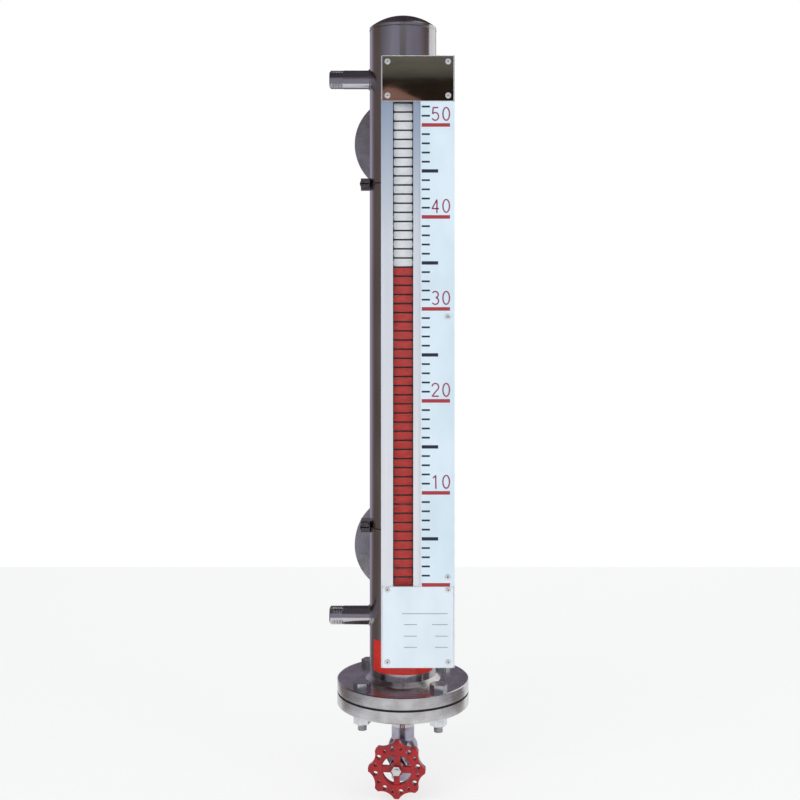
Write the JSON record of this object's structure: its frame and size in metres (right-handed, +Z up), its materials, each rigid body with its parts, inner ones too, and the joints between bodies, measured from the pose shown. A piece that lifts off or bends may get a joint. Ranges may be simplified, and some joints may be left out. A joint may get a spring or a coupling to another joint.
{
  "type": "magnetic level gauge",
  "caption": "Upright level gauge with a jacketed steel chamber, side process flanges, turning red and white flaps beside a centimetre scale, and a hand-wheel drain valve.",
  "frame": {"origin": "centre of the lower process flange's sealing face", "axes": "+Z up along the chamber, +Y out of the process flanges towards the tank, +X to the right of the scale"},
  "size_m": [0.159, 0.22, 0.8705],
  "materials": {
    "drawn_steel": "polished drawn stainless tube",
    "turned_steel": "turned stainless plate",
    "gasket_rubber": "black sheet rubber",
    "zinc_fastener": "bright zinc plate",
    "cast_brass": "sand-cast and machined brass",
    "graphite_packing": "pressed graphite cord",
    "bright_steel": "bright turned steel",
    "red_wheel_paint": "red enamel on cast iron",
    "float_steel": "thin stainless sheet",
    "ferrite_magnet": "pressed ferrite",
    "spring_steel": "spring wire",
    "anodised_aluminium": "anodised extrusion",
    "window_glass": "clear flat glass",
    "flap_plastic": "moulded plastic, red on one side and white on the other",
    "printed_plate": "pale printed sheet metal",
    "mirror_steel": "mirror-polished stainless sheet",
    "rivet_aluminium": "blind rivet",
    "clamp_steel": "stainless clamp strip",
    "red_film": "plain red film"
  },
  "bodies": {
    "gauge": {"jacket_tube": "drawn_steel", "jacket_cap": "drawn_steel", "upper_jacket_nipple": "drawn_steel", "lower_jacket_nipple": "drawn_steel", "upper_nozzle": "drawn_steel", "lower_nozzle": "drawn_steel", "chamber_tube": "drawn_steel", "chamber_top_plug": "drawn_steel", "drain_pipe": "drawn_steel", "upper_process_flange": "turned_steel", "lower_process_flange": "turned_steel", "chamber_flange": "turned_steel", "drain_flange": "turned_steel", "flange_gasket": "gasket_rubber", "flange_bolts": "zinc_fastener", "flange_washers": "zinc_fastener", "flange_nuts": "zinc_fastener", "valve_body": "cast_brass", "valve_bonnet": "cast_brass", "gland_nut": "cast_brass", "gland_packing": "graphite_packing", "upper_buffer_spring": "spring_steel", "lower_buffer_spring": "spring_steel", "indicator_channel": "anodised_aluminium", "channel_cap_top": "anodised_aluminium", "channel_cap_bottom": "anodised_aluminium", "upper_saddle": "anodised_aluminium", "lower_saddle": "anodised_aluminium", "cap_screws": "bright_steel", "saddle_screws": "bright_steel", "window_glass": "window_glass", "flap_rack": "flap_plastic", "scale_plate": "printed_plate", "name_plate": "printed_plate", "top_plate": "mirror_steel", "plate_rivets": "rivet_aluminium", "upper_clamp_band": "clamp_steel", "lower_clamp_band": "clamp_steel", "upper_clamp_housing": "clamp_steel", "lower_clamp_housing": "clamp_steel", "clamp_screws": "clamp_steel", "tube_label": "red_film"},
    "float": {"float_shell": "float_steel", "float_magnet": "ferrite_magnet"},
    "gate": {"valve_gate": "cast_brass"},
    "wheel": {"handwheel": "red_wheel_paint", "handwheel_nut": "bright_steel", "valve_stem": "bright_steel"},
    "flap_29": {"flap_29": "flap_plastic"},
    "flap_30": {"flap_30": "flap_plastic"},
    "flap_31": {"flap_31": "flap_plastic"},
    "flap_32": {"flap_32": "flap_plastic"},
    "flap_33": {"flap_33": "flap_plastic"},
    "flap_34": {"flap_34": "flap_plastic"},
    "flap_35": {"flap_35": "flap_plastic"},
    "flap_36": {"flap_36": "flap_plastic"},
    "flap_37": {"flap_37": "flap_plastic"},
    "flap_38": {"flap_38": "flap_plastic"},
    "flap_39": {"flap_39": "flap_plastic"},
    "flap_40": {"flap_40": "flap_plastic"}
  },
  "joints": [
    {"name": "float_slide", "type": "slide", "parent": "gauge", "child": "float", "axis": [0, 0, 1], "range_m": [0, 0.5274]},
    {"name": "wheel_turn", "type": "hinge", "parent": "gauge", "child": "wheel", "pos_m": [0, -0.145, -0.204], "axis": [-0.1045, -0.9945, 0], "range_deg": [0, 2880]},
    {"name": "gate_lift", "type": "slide", "parent": "gauge", "child": "gate", "axis": [-0.1045, -0.9945, 0], "range_m": [0, 0.01601]},
    {"name": "flap_29_turn", "type": "hinge", "parent": "gauge", "child": "flap_29", "pos_m": [0, -0.2055, 0.29], "axis": [1, 0, 0], "range_deg": [-180, 0]},
    {"name": "flap_30_turn", "type": "hinge", "parent": "gauge", "child": "flap_30", "pos_m": [0, -0.2055, 0.3], "axis": [1, 0, 0], "range_deg": [-180, 0]},
    {"name": "flap_31_turn", "type": "hinge", "parent": "gauge", "child": "flap_31", "pos_m": [0, -0.2055, 0.31], "axis": [1, 0, 0], "range_deg": [-180, 0]},
    {"name": "flap_32_turn", "type": "hinge", "parent": "gauge", "child": "flap_32", "pos_m": [0, -0.2055, 0.32], "axis": [1, 0, 0], "range_deg": [-180, 0]},
    {"name": "flap_33_turn", "type": "hinge", "parent": "gauge", "child": "flap_33", "pos_m": [0, -0.2055, 0.33], "axis": [1, 0, 0], "range_deg": [-180, 0]},
    {"name": "flap_34_turn", "type": "hinge", "parent": "gauge", "child": "flap_34", "pos_m": [0, -0.2055, 0.34], "axis": [1, 0, 0], "range_deg": [-180, 0]},
    {"name": "flap_35_turn", "type": "hinge", "parent": "gauge", "child": "flap_35", "pos_m": [0, -0.2055, 0.35], "axis": [1, 0, 0], "range_deg": [0, 180]},
    {"name": "flap_36_turn", "type": "hinge", "parent": "gauge", "child": "flap_36", "pos_m": [0, -0.2055, 0.36], "axis": [1, 0, 0], "range_deg": [0, 180]},
    {"name": "flap_37_turn", "type": "hinge", "parent": "gauge", "child": "flap_37", "pos_m": [0, -0.2055, 0.37], "axis": [1, 0, 0], "range_deg": [0, 180]},
    {"name": "flap_38_turn", "type": "hinge", "parent": "gauge", "child": "flap_38", "pos_m": [0, -0.2055, 0.38], "axis": [1, 0, 0], "range_deg": [0, 180]},
    {"name": "flap_39_turn", "type": "hinge", "parent": "gauge", "child": "flap_39", "pos_m": [0, -0.2055, 0.39], "axis": [1, 0, 0], "range_deg": [0, 180]},
    {"name": "flap_40_turn", "type": "hinge", "parent": "gauge", "child": "flap_40", "pos_m": [0, -0.2055, 0.4], "axis": [1, 0, 0], "range_deg": [0, 180]}
  ],
  "couplings": [
    {"joint": "gate_lift", "follows": "wheel_turn", "m_per_rad": 0.00031831}
  ]
}
